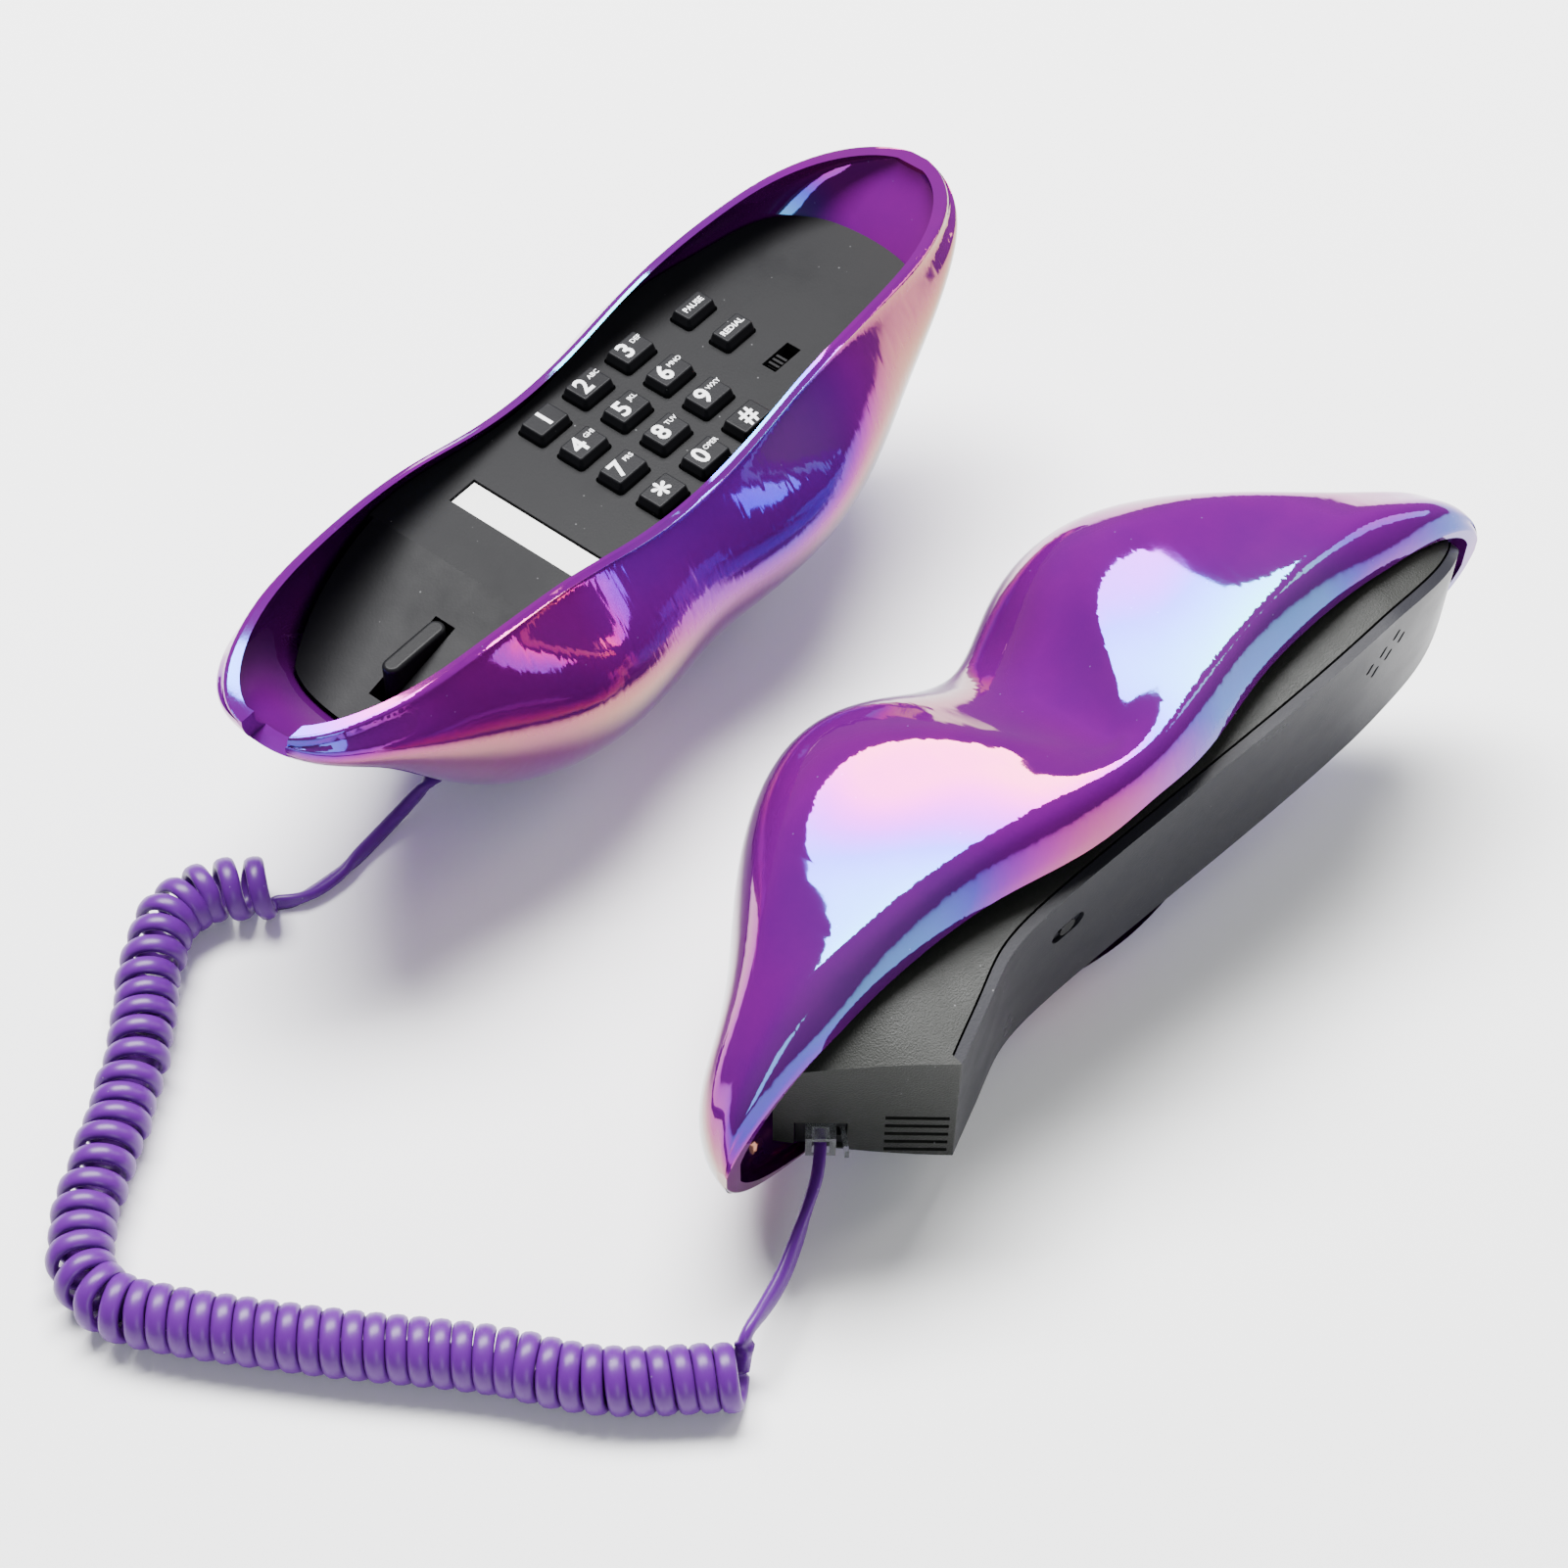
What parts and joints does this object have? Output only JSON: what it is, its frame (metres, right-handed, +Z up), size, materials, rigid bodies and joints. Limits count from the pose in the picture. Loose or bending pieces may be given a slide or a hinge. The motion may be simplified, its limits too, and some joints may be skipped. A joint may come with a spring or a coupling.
{
  "type": "novelty shaped telephone",
  "caption": "Novelty telephone in two lip-shaped halves: a base with a keypad deck and hook lever, its handset lying beside it on a coiled cord.",
  "frame": {"origin": "on the table, under the middle of the base and the handset together", "axes": "+X along the base towards its earpiece end, +Y to the back of the base, +Z up"},
  "size_m": [0.3094, 0.1958, 0.0779],
  "materials": {
    "lip_gloss": "glossy with an iridescent colour shift",
    "black_plastic": "satin",
    "body_plastic": "fine textured",
    "face_plastic": "smooth satin",
    "black_rubber": "matt",
    "grey_rubber": "matt",
    "circuit_board": "solder mask",
    "white_card": "paper",
    "brass": "satin",
    "steel": "plated",
    "clear_plastic": "clear",
    "cord": "satin violet jacket"
  },
  "bodies": {
    "base": {"ballast_plate": "steel", "base_cord_jack": "black_plastic", "base_cord_plug": "clear_plastic", "base_lip_shell": "lip_gloss", "board_components": "black_plastic", "board_screws": "steel", "bottom_cover": "black_plastic", "bottom_screws": "steel", "cord_coil_front": "cord", "cord_coil_side": "cord", "cord_lead": "cord", "cord_tail": "cord", "hook_bracket": "black_plastic", "hook_pin": "steel", "hook_spring": "steel", "hook_switch": "black_plastic", "keypad_deck": "black_plastic", "keypad_mat": "grey_rubber", "line_jack": "black_plastic", "main_board": "circuit_board", "memo_card": "white_card", "mode_switch_body": "black_plastic", "ringer": "brass", "rubber_feet": "black_rubber"},
    "handset": {"face_screws": "steel", "handset_body": "body_plastic", "handset_cord_jack": "black_plastic", "handset_cord_plug": "clear_plastic", "handset_face": "face_plastic", "handset_lip_shell": "lip_gloss", "handset_weight": "steel", "microphone": "steel", "receiver": "steel", "receiver_gasket": "grey_rubber", "shell_screws": "steel"},
    "hook_lever": {"hook_lever": "black_plastic"},
    "key_0": {"key_0": "black_plastic"},
    "key_1": {"key_1": "black_plastic"},
    "key_2": {"key_2": "black_plastic"},
    "key_3": {"key_3": "black_plastic"},
    "key_4": {"key_4": "black_plastic"},
    "key_5": {"key_5": "black_plastic"},
    "key_6": {"key_6": "black_plastic"},
    "key_7": {"key_7": "black_plastic"},
    "key_8": {"key_8": "black_plastic"},
    "key_9": {"key_9": "black_plastic"},
    "key_hash": {"key_hash": "black_plastic"},
    "key_pause": {"key_pause": "black_plastic"},
    "key_redial": {"key_redial": "black_plastic"},
    "key_star": {"key_star": "black_plastic"},
    "mode_switch_knob": {"mode_switch_knob": "black_plastic"}
  },
  "joints": [
    {"name": "handset_lift", "type": "slide", "parent": "base", "child": "handset", "axis": [0, 0, 1], "range_m": [0, 0.06]},
    {"name": "key_0_press", "type": "slide", "parent": "base", "child": "key_0", "axis": [0, 0, -1], "range_m": [0, 0.0012], "stiffness_N_per_m": 400, "springref_m": -0.0003},
    {"name": "key_1_press", "type": "slide", "parent": "base", "child": "key_1", "axis": [0, 0, -1], "range_m": [0, 0.0012], "stiffness_N_per_m": 400, "springref_m": -0.0003},
    {"name": "key_2_press", "type": "slide", "parent": "base", "child": "key_2", "axis": [0, 0, -1], "range_m": [0, 0.0012], "stiffness_N_per_m": 400, "springref_m": -0.0003},
    {"name": "key_3_press", "type": "slide", "parent": "base", "child": "key_3", "axis": [0, 0, -1], "range_m": [0, 0.0012], "stiffness_N_per_m": 400, "springref_m": -0.0003},
    {"name": "key_4_press", "type": "slide", "parent": "base", "child": "key_4", "axis": [0, 0, -1], "range_m": [0, 0.0012], "stiffness_N_per_m": 400, "springref_m": -0.0003},
    {"name": "key_5_press", "type": "slide", "parent": "base", "child": "key_5", "axis": [0, 0, -1], "range_m": [0, 0.0012], "stiffness_N_per_m": 400, "springref_m": -0.0003},
    {"name": "key_6_press", "type": "slide", "parent": "base", "child": "key_6", "axis": [0, 0, -1], "range_m": [0, 0.0012], "stiffness_N_per_m": 400, "springref_m": -0.0003},
    {"name": "key_7_press", "type": "slide", "parent": "base", "child": "key_7", "axis": [0, 0, -1], "range_m": [0, 0.0012], "stiffness_N_per_m": 400, "springref_m": -0.0003},
    {"name": "key_8_press", "type": "slide", "parent": "base", "child": "key_8", "axis": [0, 0, -1], "range_m": [0, 0.0012], "stiffness_N_per_m": 400, "springref_m": -0.0003},
    {"name": "key_9_press", "type": "slide", "parent": "base", "child": "key_9", "axis": [0, 0, -1], "range_m": [0, 0.0012], "stiffness_N_per_m": 400, "springref_m": -0.0003},
    {"name": "key_hash_press", "type": "slide", "parent": "base", "child": "key_hash", "axis": [0, 0, -1], "range_m": [0, 0.0012], "stiffness_N_per_m": 400, "springref_m": -0.0003},
    {"name": "key_pause_press", "type": "slide", "parent": "base", "child": "key_pause", "axis": [0, 0, -1], "range_m": [0, 0.0012], "stiffness_N_per_m": 400, "springref_m": -0.0003},
    {"name": "key_redial_press", "type": "slide", "parent": "base", "child": "key_redial", "axis": [0, 0, -1], "range_m": [0, 0.0012], "stiffness_N_per_m": 400, "springref_m": -0.0003},
    {"name": "key_star_press", "type": "slide", "parent": "base", "child": "key_star", "axis": [0, 0, -1], "range_m": [0, 0.0012], "stiffness_N_per_m": 400, "springref_m": -0.0003},
    {"name": "hook_pivot", "type": "hinge", "parent": "base", "child": "hook_lever", "pos_m": [-0.047, 0.0576, 0.0425], "axis": [0, -1, 0], "range_deg": [0, 9], "stiffness_Nm_per_rad": 0.02, "deforming": ["hook_spring"]},
    {"name": "mode_switch_slide", "type": "slide", "parent": "base", "child": "mode_switch_knob", "axis": [1, 0, 0], "range_m": [0, 0.0022]}
  ]
}
